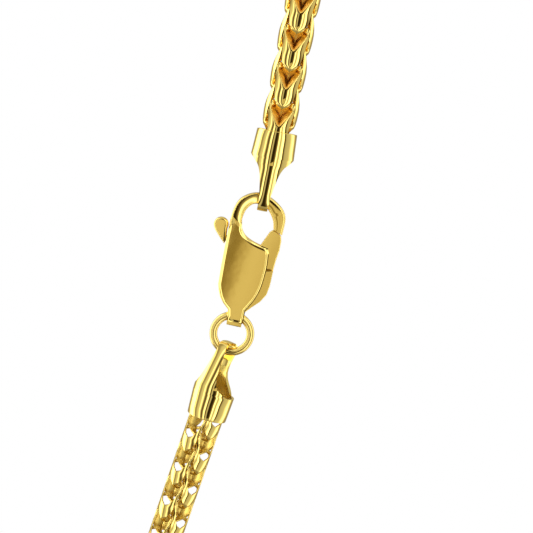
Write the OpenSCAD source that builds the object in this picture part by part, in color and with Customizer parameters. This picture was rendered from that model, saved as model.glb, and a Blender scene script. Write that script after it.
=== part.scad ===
// Franco chain necklace: two sets of folded links crossing at right angles,
// two end caps, a jump ring and a lobster clasp with a sprung lever.
// The origin is the top of the loop, where it rests on the nape.

/* [Chain] */
// Overall width of the chain, mm
chain_d = 6; // [5.7:0.1:6.2]
// Wall thickness of a link, mm
link_wall = 0.75; // [0.68:0.01:0.82]
// Number of links in the whole chain
link_count = 161; // [159:1:162]
// Turn of the chain about its own length between the two ends, degrees
chain_roll = 45; // [30:1:60]

/* [Loop] */
// Radius of the loop over the nape, mm
nape_radius = 66; // [60:1:72]
// Straight run above the upper end cap, mm
upper_run = 26; // [20:1:32]
// Straight run below the lower end cap, mm
lower_run = 34; // [28:1:40]
// Forward lean of the whole loop from upright, degrees
loop_lean = 7; // [3:1:18]
// Lean of the upper run and its cap, degrees
upper_lean = 11; // [9:0.5:13]
// Lean of the lower run, degrees
lower_lean = 19; // [17:0.5:21]
// Lean of the far side of the loop, degrees
far_lean = 6; // [4:1:12]

/* [End caps] */
// Outside width of an end cap at its mouth, mm
cap_mouth_d = 7.4; // [7.3:0.1:8]
// Outside width of an end cap at its shoulder, mm
cap_shoulder_d = 7.9; // [7.7:0.1:8.6]
// Clearance between the chain and the cap round it, mm
chain_clear = 0.2; // [0.1:0.01:0.3]
// Height of the closed tube of an end cap, mm
cap_tube = 4.4; // [3.8:0.1:5]
// Mouth to the middle of the folded loop, mm
cap_len = 12.2; // [11.6:0.1:12.8]
// Thickness of the folded strap, mm
strap_t = 0.45; // [0.35:0.05:0.6]
// Width of the folded strap, mm
strap_w = 1.8; // [1.5:0.1:2]
// Turn of the lower end cap about its own length, degrees
lower_cap_roll = -35; // [-38:1:-20]

/* [Jump ring] */
// Middle radius of the jump ring, mm
ring_radius = 3.24; // [3.1:0.02:3.4]
// Wire thickness of the jump ring, mm
ring_wire = 1.36; // [1.1:0.02:1.4]

/* [Clasp] */
// Hook bar to the hole for the jump ring, mm
clasp_len = 21; // [20.4:0.1:21.6]
// Thickness of the clasp body, mm
clasp_t = 3.2; // [3:0.1:3.6]
// Thickness of the hook, mm
hook_t = 1.8; // [1.5:0.1:2]
// Lean of the clasp, degrees
clasp_lean = 12.5; // [11:0.5:14]
// Clearance round the jump ring in its hole, mm
ring_clear = 0.22; // [0.15:0.01:0.3]

/* [Lever] */
// Thickness of the lever, mm
lever_t = 1.2; // [1:0.05:1.3]
// Clearance each side of the lever in its slot, mm
lever_clear = 0.12; // [0.08:0.01:0.2]
// Radius of the pin, mm
pin_r = 0.5; // [0.4:0.02:0.6]
// Running clearance of the lever on its pin, mm
pin_clear = 0.05; // [0.03:0.01:0.08]
// Fit clearance of the pin in the body, mm
pin_fit = 0.02; // [0.01:0.005:0.03]
// Radius of the thumb pad, mm
pad_r = 1.2; // [1:0.05:1.4]

/* [Hidden] */

// A direction that leans a degrees to the right of upright, in the plane of the loop.
function dir(a) = [sin(a), cos(a)];
function side(a) = [cos(a), -sin(a)];

// Places in the plane of the loop, measured from the mouth of the upper cap.
cap_lean = 17;
hook_at = -cap_len * dir(upper_lean) + [-0.34, 0.44];
eye_at = hook_at - clasp_len * dir(clasp_lean);
ring_at = eye_at - ring_radius * dir(clasp_lean);
low_loop = ring_at - ring_radius * dir(cap_lean);
low_mouth = low_loop - cap_len * dir(cap_lean);

// The route of the chain: straight, nape arc, straight, front arc, straight.
top_turn = 180 + upper_lean + far_lean;
low_turn = 360 - lower_lean - 180 - far_lean;
a0 = upper_lean;
a1 = upper_lean - top_turn;
a2 = lower_lean - 360;
top_start = upper_run * dir(a0);
top_mid = top_start - nape_radius * side(a0);
top_end = top_mid + nape_radius * side(a1);
low_start = low_mouth - lower_run * dir(a2);
// The far run and the front arc close the loop between top_end and low_start.
arc_unit = side(a2) - side(a1);
want = low_start - top_end;
det = dir(a1)[0] * arc_unit[1] - dir(a1)[1] * arc_unit[0];
far_run = (want[0] * arc_unit[1] - want[1] * arc_unit[0]) / det;
front_radius = (dir(a1)[0] * want[1] - dir(a1)[1] * want[0]) / det;
far_end = top_end + far_run * dir(a1);
low_mid = far_end - front_radius * side(a1);

// Lengths along the route where one piece ends and the next begins.
s1 = upper_run;
s2 = s1 + nape_radius * top_turn * PI / 180;
s3 = s2 + far_run;
s4 = s3 + front_radius * low_turn * PI / 180;
s5 = s4 + lower_run;
function head(s) = s < s1 ? a0 : s < s2 ? a0 - (s - s1) / nape_radius * 180 / PI : s < s3 ? a1
    : s < s4 ? a1 - (s - s3) / front_radius * 180 / PI : a2;
function spot(s) = s < s1 ? s * dir(a0) : s < s2 ? top_mid + nape_radius * side(head(s))
    : s < s3 ? top_end + (s - s2) * dir(a1) : s < s4 ? low_mid + front_radius * side(head(s))
    : low_start + (s - s4) * dir(a2);
top_point = top_mid + [0, nape_radius];

// One link, in its own axes: along z, its notch tip at z = 0, its two faces at -y and y.
r = chain_d / 2;
k = r / 3;
first_at = 0.85;
last_at = s5 - 0.5;
spacing = (last_at - first_at) / (link_count - 1);
ri = r - link_wall;
// Right-hand half of each face, from the strap up to the ear.
strap_lo = [0.6 * k, 1.98 * k, -3.55 * k];
strap_hi = [0.6 * k, 1.6 * k, -3 * k];
foot_lo = [0.9 * k, 2.42 * k, -2.72 * k];
foot_hi = [0.9 * k, (2.75 - link_wall) * k, -2.65 * k];
edge_out = [1.45 * k, 2.5 * k, -0.4 * k];
edge_in = [k, 2 * k, -0.4 * k];
ear_1 = [1.16 * k, 1.36 * k, 3.75 * k];
ear_2 = [1.62 * k, 1.73 * k, 4.26 * k];
ear_3 = [1.4 * k, 1.27 * k, 4.26 * k];
ear_4 = [1.04 * k, 0.83 * k, 3.75 * k];
function mx(p) = [-p[0], p[1], p[2]];
function face_points(s) = [for (p = [mx(strap_lo), strap_lo, strap_hi, mx(strap_hi),
    mx(foot_lo), foot_lo, foot_hi, mx(foot_hi),
    mx(edge_out), [0, r, 0], edge_out, edge_in, [0, ri, 0], mx(edge_in),
    ear_1, ear_2, ear_3, ear_4, mx(ear_1), mx(ear_2), mx(ear_3), mx(ear_4)]) [p[0], s * p[1], p[2]]];
link_points = concat(face_points(-1), face_points(1));
function flip(t) = [t[0], t[2], t[1]];
function join4(a, b) = [for (i = [0:3]) for (t = [[a[i], a[(i + 1) % 4], b[(i + 1) % 4]], [a[i], b[(i + 1) % 4], b[i]]]) t];
face_tris = concat(
    join4([0, 1, 2, 3], [4, 5, 6, 7]),
    [[4, 5, 9], [5, 10, 9], [4, 9, 8], [5, 6, 11], [5, 11, 10]],
    [[6, 7, 12], [6, 12, 11], [7, 13, 12], [7, 4, 8], [7, 8, 13]],
    join4([9, 10, 11, 12], [14, 15, 16, 17]),
    join4([8, 9, 12, 13], [19, 18, 21, 20]),
    join4([14, 15, 16, 17], [18, 19, 20, 21]));
link_tris = concat(face_tris, [for (t = face_tris) flip(t) + [22, 22, 22]],
    [for (i = [0:3]) for (t = [[(i + 1) % 4, i, 22 + i], [(i + 1) % 4, 22 + i, 22 + (i + 1) % 4]]) t]);

// The chain turns about its own length over the hidden part of the loop.
function roll(s) = s < s2 ? 0 : s > s4 ? chain_roll : chain_roll * (s - s2) / (s4 - s2);
function turned(p, a) = [p[0] * cos(a) - p[1] * sin(a), p[0] * sin(a) + p[1] * cos(a), p[2]];
function in_plane(p, c, h) = [c[0] + p[0] * cos(h) + p[2] * sin(h), p[1], c[1] - p[0] * sin(h) + p[2] * cos(h)];
function lean(p) = [p[0] - top_point[0],
    p[1] * cos(loop_lean) - (p[2] - top_point[1]) * sin(loop_lean),
    p[1] * sin(loop_lean) + (p[2] - top_point[1]) * cos(loop_lean)];
function link_world(i) = let (s = first_at + i * spacing, a = roll(s) + 90 * (i % 2), c = spot(s), h = head(s))
    [for (p = link_points) lean(in_plane(turned(p, a), c, h))];

module links(from, to) {
    points = [for (i = [from:to]) each link_world(i)];
    tris = [for (i = [from:to]) each [for (t = link_tris) flip(t) + 44 * (i - from) * [1, 1, 1]]];
    polyhedron(points = points, faces = tris, convexity = 12);
}

half_count = floor(link_count / 2);

// Moves a part drawn about its own axis to its place in the leaning loop.
module put(at, a) {
    rotate([loop_lean, 0, 0])
        translate([at[0] - top_point[0], 0, at[1] - top_point[1]])
            rotate([0, a, 0])
                children();
}

// Outline of a cap seen from its front, from the mouth up to the folded loop.
cap_r = cap_shoulder_d / 2;
bore_r = r + chain_clear;
loop_hi = 1.5;
loop_in = 1.55;
// Heights between the tube's top and the middle of the loop, as parts of a rise of 7.8 that stretches with both.
cap_rise = 7.8;
function up(h) = cap_tube + (cap_len - cap_tube) * h / cap_rise;
cap_half = [[cap_r + 1, -1], [cap_r + 1, cap_tube], [cap_r, cap_tube], [3.7, up(0.25)], [3.1, up(0.9)],
    [2.75, up(1.4)], [2.3, up(2)], [1.9, up(2.6)], [1.6, up(3.4)], [1.42, up(4.2)],
    [1.3, up(5.2)], [1.15, up(6)], [strap_w / 2, up(6.8)], [strap_w / 2, cap_len + 4]];
// Side view of the folded strap: outer line up the front and over, then down to the back of the tube.
loop_top = cap_len + loop_hi;
strap_side = [[-cap_r + 0.2, up(2.2)], [-3.72, up(3.2)], [-3.5, up(3.9)], [-3, up(4.55)], [-2.4, up(5.2)],
    [-loop_in - strap_t, up(6.2)], [-loop_in - strap_t, cap_len + 0.2], [-1.75, loop_top - 0.3], [-1.3, loop_top + 0.15],
    [-0.7, loop_top + strap_t - 0.05], [0, loop_top + strap_t], [0.7, loop_top + strap_t - 0.05], [1.3, loop_top + 0.15],
    [1.75, loop_top - 0.3], [loop_in + strap_t, cap_len + 0.2], [1.95, up(7.1)], [1.75, up(6.5)], [1.35, up(5.8)],
    [1.05, up(5)], [1, up(4.3)], [1.3, up(3.5)], [1.9, up(2.7)], [2.7, up(1.8)], [3.4, up(0.8)], [cap_r - 0.1, cap_tube - 0.3],
    [bore_r + 0.2, cap_tube - 0.3], [2.95, up(0.6)], [2.3, up(1.5)], [1.55, up(2.35)], [0.93, up(3.2)], [0.55, up(4.2)],
    [0.6, up(5.1)], [0.95, up(6)], [1.33, up(6.65)], [1.5, up(7.2)], [loop_in, cap_len + 0.1],
    [1.35, loop_top - 0.55], [1, loop_top - 0.2], [0.5, loop_top - 0.03], [0, loop_top],
    [-0.5, loop_top - 0.03], [-1, loop_top - 0.2], [-1.35, loop_top - 0.55], [-loop_in, cap_len + 0.1],
    [-loop_in, up(6.4)], [-2, up(5.55)], [-2.65, up(4.85)], [-3.1, up(4.1)], [-3.3, up(3.3)], [-3.35, up(2.2)]];
back_half = [[1.95, 2], [1.95, cap_tube], [1.7, up(1.8)], [1.5, up(2.7)], [1.35, up(3.5)], [1.25, up(4.3)], [1.15, up(5)],
    [1, up(5.8)], [strap_w / 2, up(6.5)], [strap_w / 2, cap_len + 4]];

module cap() {
    difference() {
        cylinder(h = cap_tube, r1 = cap_mouth_d / 2, r2 = cap_r, $fn = 96);
        translate([0, 0, -1])
            cylinder(h = cap_tube + 2, r = bore_r, $fn = 96);
    }
    intersection() {
        difference() {
            translate([0, 0, cap_tube - 0.6])
                cylinder(h = up(3) - cap_tube + 0.6, r = cap_r, $fn = 96);
            translate([0, 0, -1])
                cylinder(h = 12, r = bore_r + 0.2, $fn = 96);
        }
        translate([0, -0.4, 0])
            rotate([90, 0, 0])
                linear_extrude(height = 6)
                    cap_face();
    }
    intersection() {
        translate([-cap_r, 0, 0])
            rotate([90, 0, 90])
                linear_extrude(height = 2 * cap_r)
                    polygon(strap_side);
        union() {
            rotate([90, 0, 0])
                linear_extrude(height = 6)
                    cap_face();
            translate([0, 6, 0])
                rotate([90, 0, 0])
                    linear_extrude(height = 6.01)
                        polygon(both_sides(back_half));
        }
    }
}

function both_sides(half) = concat(half, [for (i = [len(half) - 1:-1:0]) [-half[i][0], half[i][1]]]);

module cap_face() {
    polygon(both_sides(cap_half));
}

// Outline of the clasp from its front, about the middle of the hook bar.
eye_y = -clasp_len;
hook_line = [[4.13, -4.72], [4.76, -4.58], [4.83, -2.93], [4.36, -1.58], [3.3, -0.5], [1.65, 0.45], [0.3, 0.9], [-0.75, 0.92],
    [-2.2, 0.4], [-3.6, -0.76], [-4.23, -2.2], [-4.48, -3.7], [-4.52, -5.7], [-4.5, -8], [-4.38, -12], [-4.2, -16], [-3.9, -17]];
tail_line = [[-3.4, eye_y + 2.9], [-2.6, eye_y + 1.9], [-1.6, eye_y + 1.05], [-1.45, eye_y], [-1.3, eye_y - 1.75], [1.3, eye_y - 1.75],
    [1.3, eye_y], [1.4, eye_y + 0.9], [2.5, eye_y + 2.4], [3.6, eye_y + 3.6], [4.2, eye_y + 5]];
gate_line = [[4.2, -13.6], [4.1, -11.2], [4, -9.6], [2.55, -8.6], [1.14, -8.2], [-0.17, -7.94], [-1.4, -7.3], [-2.16, -6.47]];
hole_line = [[-2.46, -5.63], [-2.55, -4.1], [-2.25, -2.49], [-1.37, -1.3], [-0.3, -1.03], [0.97, -1.24], [1.97, -2.2], [2.75, -3.39],
    [3.07, -4.72]];
pivot = [1.54, -10.2];

module flat(t) {
    translate([0, t / 2, 0])
        rotate([90, 0, 0])
            linear_extrude(height = t)
                children();
}

module clasp_outline() {
    polygon(concat(hook_line, tail_line, gate_line, hole_line));
}

module clasp_shape() {
    difference() {
        union() {
            flat(hook_t)
                clasp_outline();
            flat(clasp_t)
                intersection() {
                    clasp_outline();
                    polygon([[-6, -5], [-2.3, -6], [0, -7.5], [6, -7.5], [6, -30], [-6, -30]]);
                }
        }
        flat(lever_t + 2 * lever_clear)
            polygon([[-6, -6.2], [-4.3, -7.3], [-2.6, -8.1], [-0.4, -8.9], [-0.2, -7.6], [6, -7.6], [6, -10.4], [3.4, -10.7], [2.9, -12], [-6, -12.4]]);
        translate([pivot[0], 0, pivot[1]])
            rotate([90, 0, 0])
                cylinder(h = 10, r = pin_r + pin_fit, center = true, $fn = 48);
        translate([0, 0, eye_y - ring_radius])
            rotate([90, 0, 0])
                rotate_extrude($fn = 96)
                    translate([ring_radius, 0])
                        circle(r = ring_wire / 2 + ring_clear, $fn = 40);
    }
}

lever_line = [[3.3, -5.12], [4.2, -5.35], [4.7, -8.2], [4.1, -9.2], [3, -9.6], [2.75, -10.6], [2.1, -11.4], [1, -11.45], [-0.2, -10.9],
    [-2, -10.2], [-4, -9.5], [-5.5, -7.2], [-6.9, -6.4], [-5.2, -5.4], [-4.9, -7], [-4.2, -8.5], [-2.4, -9], [-0.3, -9.35],
    [1, -9.1], [1.5, -8], [2.6, -5.4]];

module lever_shape() {
    difference() {
        union() {
            flat(lever_t)
                polygon(lever_line);
            translate([-6, 0, -5.9])
                rotate([90, 0, 0])
                    cylinder(h = lever_t, r = pad_r, center = true, $fn = 64);
        }
        translate([pivot[0], 0, pivot[1]])
            rotate([90, 0, 0])
                cylinder(h = 10, r = pin_r + pin_clear, center = true, $fn = 48);
    }
}

module chain_near() {
    color([0.9, 0.72, 0.3])
        links(0, half_count - 1);
}

module chain_far() {
    color([0.86, 0.68, 0.28])
        links(half_count, link_count - 1);
}

module upper_end_cap() {
    color([0.92, 0.76, 0.36])
        put([0, 0], upper_lean + 180)
            cap_turned(0);
}

module cap_turned(a) {
    rotate([0, 0, a])
        cap();
}

module lower_end_cap() {
    color([0.92, 0.76, 0.36])
        put(low_mouth, cap_lean)
            cap_turned(lower_cap_roll);
}

module jump_ring() {
    color([0.9, 0.74, 0.34])
        put(ring_at, 0)
            rotate([90, 0, 0])
                rotate_extrude($fn = 96)
                    translate([ring_radius, 0])
                        circle(r = ring_wire / 2, $fn = 40);
}

module clasp_body() {
    color([0.88, 0.7, 0.3])
        put(hook_at, clasp_lean)
            clasp_shape();
}

module lever_pin() {
    color([0.8, 0.64, 0.28])
        put(hook_at, clasp_lean)
            translate([pivot[0], 0, pivot[1]])
                rotate([90, 0, 0])
                    cylinder(h = clasp_t - 0.1, r = pin_r, center = true, $fn = 48);
}

module clasp_lever() {
    color([0.94, 0.78, 0.38])
        put(hook_at, clasp_lean)
            lever_shape();
}

chain_near();
chain_far();
upper_end_cap();
lower_end_cap();
jump_ring();
clasp_body();
lever_pin();
clasp_lever();
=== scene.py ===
"""Polished gold franco chain necklace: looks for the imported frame."""

import math

import bmesh
import bpy
from bpy.props import FloatProperty, FloatVectorProperty, IntProperty, PointerProperty
from mathutils import Matrix, Vector


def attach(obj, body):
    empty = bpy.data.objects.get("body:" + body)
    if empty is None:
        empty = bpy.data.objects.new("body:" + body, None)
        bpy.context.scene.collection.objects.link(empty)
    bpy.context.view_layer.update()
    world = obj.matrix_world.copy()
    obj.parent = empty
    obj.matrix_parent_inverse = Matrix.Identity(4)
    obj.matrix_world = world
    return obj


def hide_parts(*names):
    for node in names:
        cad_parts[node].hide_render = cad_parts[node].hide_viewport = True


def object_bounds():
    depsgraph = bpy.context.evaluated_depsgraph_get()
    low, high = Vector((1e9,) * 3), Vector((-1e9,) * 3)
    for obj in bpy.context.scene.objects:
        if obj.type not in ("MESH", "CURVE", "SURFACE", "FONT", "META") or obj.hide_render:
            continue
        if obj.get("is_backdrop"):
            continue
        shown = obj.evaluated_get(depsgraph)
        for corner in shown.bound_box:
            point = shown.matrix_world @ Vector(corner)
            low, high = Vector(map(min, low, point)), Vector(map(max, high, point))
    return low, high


bl_info = {
    "name": "Franco chain necklace",
    "version": (1, 0, 0),
    "blender": (4, 5, 0),
    "location": "View3D > Sidebar > Necklace",
    "description": "Builds the visual model of a gold franco chain with a lobster clasp",
    "category": "Add Mesh",
}

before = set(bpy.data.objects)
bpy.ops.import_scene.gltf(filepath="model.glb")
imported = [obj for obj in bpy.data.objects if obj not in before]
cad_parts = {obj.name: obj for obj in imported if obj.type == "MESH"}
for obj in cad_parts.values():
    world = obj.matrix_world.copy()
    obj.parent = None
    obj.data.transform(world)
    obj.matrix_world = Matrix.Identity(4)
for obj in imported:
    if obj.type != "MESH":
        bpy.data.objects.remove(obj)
cad_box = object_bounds()

MM = 0.001

# Shift in x and z from the upper cap's folded loop to the middle of the hook's bar.
HOOK_SHIFT = (-0.34, 0.44)


# Places, in millimetres, in the plane of the loop from the mouth of the upper cap.


def way(a):
    """Unit step that leans a degrees to the right of upright."""
    return Vector((math.sin(math.radians(a)), math.cos(math.radians(a))))


def across(a):
    """Unit step to the right of way(a)."""
    return Vector((math.cos(math.radians(a)), -math.sin(math.radians(a))))


class Layout:
    """Where each piece sits, worked out from the settings."""

    def __init__(self, s):
        self.s = s
        self.hook = -s.cap_length * way(s.upper_lean) + Vector(HOOK_SHIFT)
        self.eye = self.hook - s.clasp_length * way(s.clasp_lean)
        self.ring = self.eye - s.ring_radius * way(s.clasp_lean)
        low_loop = self.ring - s.ring_radius * way(s.cap_lean)
        self.low_mouth = low_loop - s.cap_length * way(s.cap_lean)
        self.a0 = s.upper_lean
        self.a1 = s.upper_lean - (180 + s.upper_lean + s.far_lean)
        self.a2 = s.lower_lean - 360
        top_turn = math.radians(180 + s.upper_lean + s.far_lean)
        low_turn = math.radians(180 - s.lower_lean - s.far_lean)
        self.top_mid = s.upper_run * way(self.a0) - s.nape_radius * across(self.a0)
        self.top_end = self.top_mid + s.nape_radius * across(self.a1)
        self.low_start = self.low_mouth - s.lower_run * way(self.a2)
        bow = across(self.a2) - across(self.a1)
        want = self.low_start - self.top_end
        u = way(self.a1)
        det = u.x * bow.y - u.y * bow.x
        far_run = (want.x * bow.y - want.y * bow.x) / det
        self.front_radius = (u.x * want.y - u.y * want.x) / det
        self.low_mid = self.top_end + far_run * u - self.front_radius * across(self.a1)
        self.s1 = s.upper_run
        self.s2 = self.s1 + s.nape_radius * top_turn
        self.s3 = self.s2 + far_run
        self.s4 = self.s3 + self.front_radius * low_turn
        self.s5 = self.s4 + s.lower_run
        self.top = self.top_mid + Vector((0, s.nape_radius))

    def heading(self, d):
        """Lean of the route at distance d along the chain."""
        if d < self.s1:
            return self.a0
        if d < self.s2:
            return self.a0 - math.degrees((d - self.s1) / self.s.nape_radius)
        if d < self.s3:
            return self.a1
        if d < self.s4:
            return self.a1 - math.degrees((d - self.s3) / self.front_radius)
        return self.a2

    def point(self, d):
        """Place of the route at distance d along the chain."""
        if d < self.s1:
            return d * way(self.a0)
        if d < self.s2:
            return self.top_mid + self.s.nape_radius * across(self.heading(d))
        if d < self.s3:
            return self.top_end + (d - self.s2) * way(self.a1)
        if d < self.s4:
            return self.low_mid + self.front_radius * across(self.heading(d))
        return self.low_start + (d - self.s4) * way(self.a2)

    def roll(self, d):
        """Turn of the chain about its own length."""
        share = (d - self.s2) / (self.s4 - self.s2)
        return self.s.chain_roll * min(1, max(0, share))

    def put(self, at, lean, roll=0.0):
        """Places a piece drawn in millimetres about its own upright axis."""
        return (
            Matrix.Scale(MM, 4)
            @ Matrix.Rotation(math.radians(self.s.loop_lean), 4, "X")
            @ Matrix.Translation((at.x - self.top.x, 0, at.y - self.top.y))
            @ Matrix.Rotation(math.radians(lean), 4, "Y")
            @ Matrix.Rotation(math.radians(roll), 4, "Z")
        )


# Mesh helpers.


def cyl(a, r, z):
    """Point at azimuth a from the front, radius r, height z."""
    return Vector((r * math.sin(math.radians(a)), -r * math.cos(math.radians(a)), z))


def ring_of(bm, points):
    """A closed loop of vertices and edges at these points."""
    made = bmesh.ops.create_circle(bm, segments=len(points), radius=1, cap_ends=False)["verts"]
    made = sorted(made, key=lambda v: math.atan2(v.co.y, v.co.x))
    for v, p in zip(made, points):
        v.co = p
    return made


def grow(bm, row, points, closed=True):
    """Extrudes a row of vertices and moves the new row to these points."""
    n = len(row)
    edges = []
    for i in range(n if closed else n - 1):
        edges.append(bm.edges.get((row[i], row[(i + 1) % n])))
    out = bmesh.ops.extrude_edge_only(bm, edges=edges)
    new = set(g for g in out["geom"] if isinstance(g, bmesh.types.BMVert))
    ordered = []
    for v in row:
        for e in v.link_edges:
            o = e.other_vert(v)
            if o in new:
                ordered.append(o)
                break
    for v, p in zip(ordered, points):
        v.co = p
    return ordered


def finish_mesh(bm, name, matrix, angle=40.0, even=True):
    """Turns the bmesh into an object at the origin, in metres."""
    bmesh.ops.recalc_face_normals(bm, faces=bm.faces)
    bmesh.ops.transform(bm, matrix=matrix, verts=bm.verts)
    me = bpy.data.meshes.new(name)
    bm.to_mesh(me)
    bm.free()
    me.shade_smooth()
    me.set_sharp_from_angle(angle=math.radians(angle))
    ob = bpy.data.objects.new(name, me)
    bpy.context.collection.objects.link(ob)
    if even:
        keep = ob.modifiers.new("even_shading", "WEIGHTED_NORMAL")
        keep.weight = 50
        keep.keep_sharp = True
    return ob


# Faces whose outward lean from the upright axis is below this look toward it.
FACING_IN = -0.3


def inside(bm, shy=None):
    """Marks the faces that look toward the upright axis, and those the shy test picks, for the
    second material: rougher gold, which no polish reaches, tinted as painted shade.
    """
    for f in bm.faces:
        c = f.calc_center_median()
        out = Vector((c.x, c.y, 0))
        if (shy and shy(f, c)) or f.normal.dot(out.normalized()) < FACING_IN:
            f.material_index = 1


def smooth_line(points, steps, closed=True):
    """Curve through the points, steps pieces for each."""
    n = len(points)
    out = []
    for i in range(n if closed else n - 1):
        if closed:
            p = [points[(i + j - 1) % n] for j in range(4)]
        else:
            p = [points[min(n - 1, max(0, i + j - 1))] for j in range(4)]
        for k in range(steps):
            t = k / steps
            q = [
                0.5
                * (
                    2 * p[1][c]
                    + (p[2][c] - p[0][c]) * t
                    + (2 * p[0][c] - 5 * p[1][c] + 4 * p[2][c] - p[3][c]) * t * t
                    + (3 * p[1][c] - p[0][c] - 3 * p[2][c] + p[3][c]) * t * t * t
                )
                for c in range(2)
            ]
            out.append(tuple(q))
    if not closed:
        out.append(tuple(points[-1]))
    return out


# The link: stations from the middle of an ear's bar down to the middle of the strap.
# Each holds four corners: notch side outside, far side outside, far side inside, notch
# side inside. A corner is azimuth, radius, height, or x, y, z where the station says so.

STATIONS = [
    ("turn", 0, (0, 1.5, 3.6), (0, 1.5, 4.3), (0, 0.8, 4.3), (0, 0.8, 3.6)),
    ("turn", 1, (20, 1.5, 3.6), (20, 1.5, 4.3), (24, 0.95, 4.3), (24, 0.95, 3.6)),
    ("turn", 1, (31, 1.8, 3.6), (33, 1.85, 4.38), (41, 1.3, 4.38), (41, 1.3, 3.6)),
    ("turn", 1, (36, 2.35, 3.6), (41, 2.5, 4.45), (47, 1.85, 4.35), (43, 1.8, 3.55)),
    ("turn", 1, (40.5, 2.8, 3.5), (46.5, 2.88, 4.35), (49, 2.1, 4.1), (42, 2.05, 3.3)),
    ("turn", 1, (39.5, 2.98, 3.05), (49, 2.97, 3.7), (49.5, 2.15, 3.55), (35, 2.05, 3.0)),
    ("turn", 1, (30, 3, 2.2), (48.5, 3, 2.6), (48.5, 2.2, 2.5), (22, 2.05, 2.4)),
    ("turn", 1, (16, 3, 1.1), (44, 3, 1.2), (43, 2.2, 1.2), (8, 2.1, 1.35)),
    ("turn", 1, (4.5, 3, 0.26), (40, 3, 0.2), (40, 2.25, 0.2), (2, 2.15, 0.75)),
    ("turn", 0, (0, 3, 0), (38, 3, -0.45), (38, 2.25, -0.45), (0, 2.2, 0.55)),
    ("turn", 0, (0, 3, -0.75), (37, 3, -0.95), (37, 2.2, -0.95), (0, 2.15, -0.4)),
    ("turn", 0, (0, 2.96, -1.6), (35, 2.96, -1.6), (35, 2.15, -1.6), (0, 2.05, -1.6)),
    ("turn", 0, (0, 2.88, -2.4), (31.5, 2.88, -2.15), (31, 2.05, -2.1), (0, 1.95, -2.3)),
    ("turn", 0, (0, 2.7, -3.1), (25, 2.76, -2.62), (25, 1.95, -2.45), (0, 1.8, -2.7)),
    ("flat", 0, (0, -2.35, -3.5), (1.08, -2.1, -3.0), (1.0, -1.65, -2.68), (0, -1.6, -2.85)),
    ("flat", 0, (0, -1.95, -4.1), (1.2, -1.75, -3.4), (1.25, -1.4, -2.95), (0, -1.4, -2.95)),
    ("flat", 0, (0, -1.45, -5.1), (1.4, -1.35, -4.05), (1.48, -1.15, -3.05), (0, -1.2, -2.95)),
    ("flat", 0, (0, -0.85, -5.9), (1.48, -0.8, -4.55), (1.52, -0.7, -3.05), (0, -0.6, -2.7)),
    ("flat", 0, (0, 0, -6.1), (1.5, 0, -4.75), (1.55, 0, -3.05), (0, 0, -2.4)),
]


# The link of the stretch above the lower cap, thinner inside so that light comes through.
PIERCED = [
    ("turn", 0, (0, 1.69, 3.9), (0, 1.69, 4.43), (0, 1.19, 4.43), (0, 1.19, 3.9)),
    ("turn", 1, (20, 1.69, 3.9), (20, 1.69, 4.43), (24, 1.34, 4.43), (24, 1.34, 3.9)),
    ("turn", 1, (34, 1.99, 3.9), (36, 2.04, 4.5), (30, 1.69, 4.5), (28, 1.69, 3.9)),
    ("turn", 1, (37, 2.35, 3.8), (42, 2.5, 4.5), (38, 2.25, 4.5), (34, 2.2, 3.75)),
    ("turn", 1, (40, 2.8, 3.65), (46.5, 2.88, 4.4), (43, 2.6, 4.25), (37, 2.58, 3.55)),
    ("turn", 1, (39.5, 2.98, 3.05), (49, 2.97, 3.7), (47, 2.7, 3.55), (38, 2.68, 2.95)),
    ("turn", 1, (35.5, 3, 2.15), (48.5, 3, 2.6), (47.5, 2.76, 2.5), (35, 2.76, 2.15)),
    ("turn", 1, (29, 3, 1.0), (43, 3, 1.2), (43, 2.76, 1.2), (29, 2.76, 1.02)),
    ("turn", 1, (18, 3, 0.08), (40.5, 3, 0.2), (40.5, 2.76, 0.2), (18, 2.76, 0.12)),
    ("turn", 0, (0, 3, -0.38), (39, 3, -0.6), (39, 2.76, -0.6), (0, 2.77, -0.36)),
    ("turn", 0, (0, 2.98, -0.95), (38, 2.98, -1.0), (38, 2.74, -1.0), (0, 2.74, -0.9)),
    ("turn", 0, (0, 2.9, -1.6), (34, 2.9, -1.6), (34, 2.66, -1.6), (0, 2.64, -1.6)),
    ("turn", 0, (0, 2.78, -2.35), (27, 2.78, -2.1), (26, 2.54, -2.05), (0, 2.5, -2.25)),
    ("turn", 0, (0, 2.6, -2.95), (19, 2.66, -2.55), (18, 2.42, -2.4), (0, 2.32, -2.65)),
    ("flat", 0, (0, -2.3, -3.35), (0.6, -2.1, -2.95), (0.5, -1.7, -2.65), (0, -1.7, -2.85)),
    ("flat", 0, (0, -1.75, -3.55), (0.45, -1.6, -3.3), (0.45, -1.35, -3), (0, -1.35, -2.95)),
    ("flat", 0, (0, -1.0, -3.7), (0.6, -1.0, -3.4), (0.6, -0.9, -3.05), (0, -0.9, -2.95)),
    ("flat", 0, (0, -0.85, -5.25), (0.8, -0.8, -5.05), (0.8, -0.75, -3.05), (0, -0.75, -2.85)),
    ("flat", 0, (0, 0, -5.6), (0.9, 0, -5.35), (0.9, 0, -3.05), (0, 0, -2.5)),
]


# Points added between the corners along each of the four edges of a section.
EDGE_POINTS = (3, 0, 1, 0)
# Largest share of an edge that a rounded corner takes.
MOST_CUT = 0.45


def section(station, edge):
    """Points round one station, corners rounded off by edge."""
    kind, rounded = station[0], station[1]
    place = (lambda c: cyl(*c)) if kind == "turn" else (lambda c: Vector(c))
    corners = [Vector(c) for c in station[2:]]
    points = []
    for i in range(4):
        a, b = corners[i], corners[(i + 1) % 4]
        cut = min(MOST_CUT, edge / (place(b) - place(a)).length)
        start = cut if rounded or i in (1, 2) else 0.0
        end = cut if rounded or i in (0, 1) else 0.0
        inner = EDGE_POINTS[i]
        room = 1 - start - end
        between = [start + room * (k + 1) / (inner + 1) for k in range(inner)]
        for t in [start, *between, 1 - end]:
            points.append(place(a.lerp(b, t)))
    return points


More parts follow.
